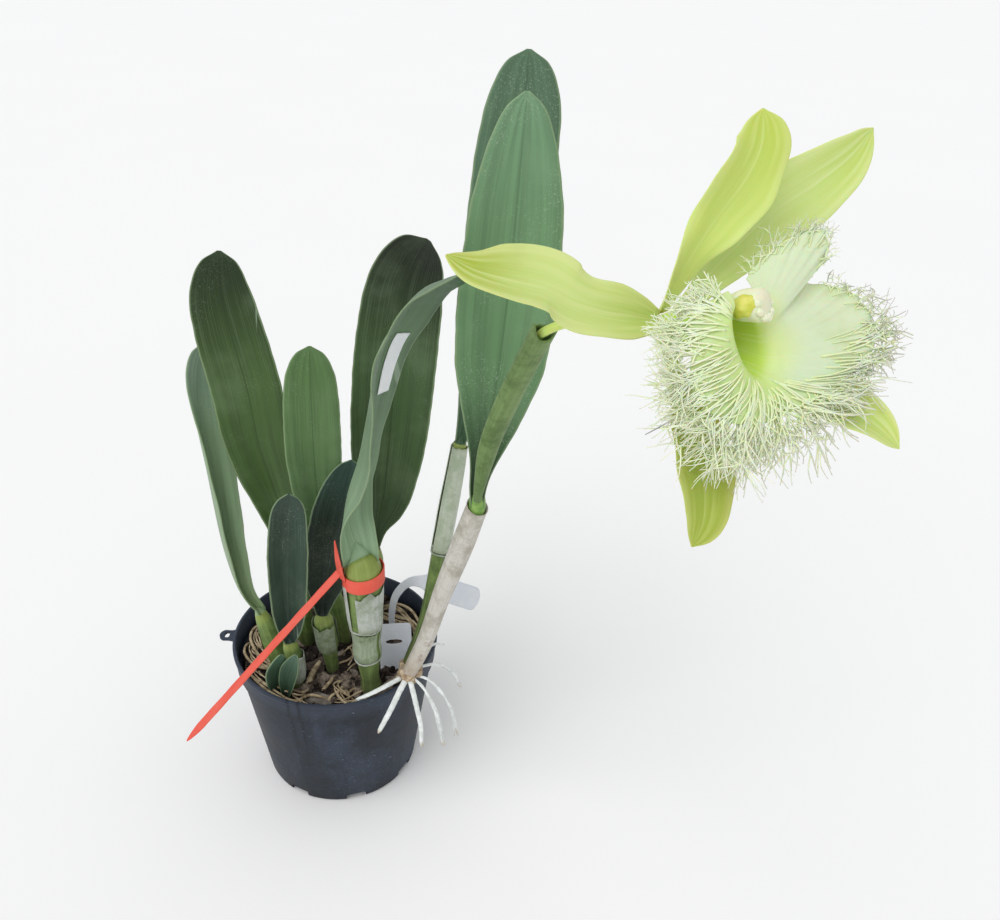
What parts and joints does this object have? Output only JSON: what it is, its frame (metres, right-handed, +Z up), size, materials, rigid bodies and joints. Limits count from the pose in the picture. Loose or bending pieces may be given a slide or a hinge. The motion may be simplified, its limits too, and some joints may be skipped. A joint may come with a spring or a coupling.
{
  "type": "potted orchid",
  "caption": "Orchid in bloom in a round nursery pot: leathery leaves on bulb-like stems, one pale green flower with a fringed lip, a tie strap and bare labels.",
  "frame": {"origin": "centre of the pot's underside, on the surface it stands on", "axes": "+Z up, -Y towards the viewer of the picture, +X to the viewer's right"},
  "size_m": [0.3272, 0.2829, 0.4618],
  "materials": {
    "pot": "moulded, dusty, satin",
    "bark": "rough bark chips",
    "dry_root": "dry, matt",
    "fresh_root": "velvety, matt",
    "bulb": "waxy green skin",
    "cane": "dry papery sheath over a green stem",
    "bract": "silvery, papery",
    "leaf_dark": "leathery, satin",
    "leaf_grey": "leathery, greyish bloom",
    "leaf_blue": "leathery, blue-green bloom",
    "leaf_light": "leathery, light green",
    "spathe": "dry green sheath",
    "tepal": "soft, waxy yellow-green",
    "lip": "soft, pale green",
    "column": "waxy cream",
    "strap": "soft coloured strip",
    "label": "bare translucent white strip",
    "sticker": "bare white film"
  },
  "bodies": {
    "root": {"pot": "pot", "potting_medium": "bark", "rhizome_roots": "dry_root", "crown_roots": "fresh_root", "bulb_left_outer": "bulb", "leaf_left_outer": "leaf_grey", "bulb_left_tall": "bulb", "leaf_left_tall": "leaf_dark", "bulb_middle": "bulb", "leaf_middle": "leaf_light", "bulb_front_small": "bulb", "leaf_front_small": "leaf_blue", "bulb_blue": "bulb", "leaf_blue": "leaf_blue", "bulb_back_tall": "bulb", "leaf_back_tall": "leaf_dark", "bulb_front_arching": "bulb", "leaf_front_arching": "leaf_grey", "bulb_rear_tall": "bulb", "leaf_rear_tall": "leaf_dark", "cane_flowering": "cane", "leaf_flowering": "leaf_light", "leaf_young_1": "leaf_blue", "leaf_young_2": "leaf_blue", "bract_front_arching": "bract", "bract_blue": "bract", "bract_front_small": "bract", "flower_sheath": "spathe", "flower_stalk": "tepal", "petal_left": "tepal", "sepal_dorsal": "tepal", "petal_right": "tepal", "sepal_right": "tepal", "sepal_left": "tepal", "lip": "lip", "column": "column", "tie_strap": "strap", "label_loop": "label", "label_card": "label", "label_sticker": "sticker"}
  },
  "joints": []
}
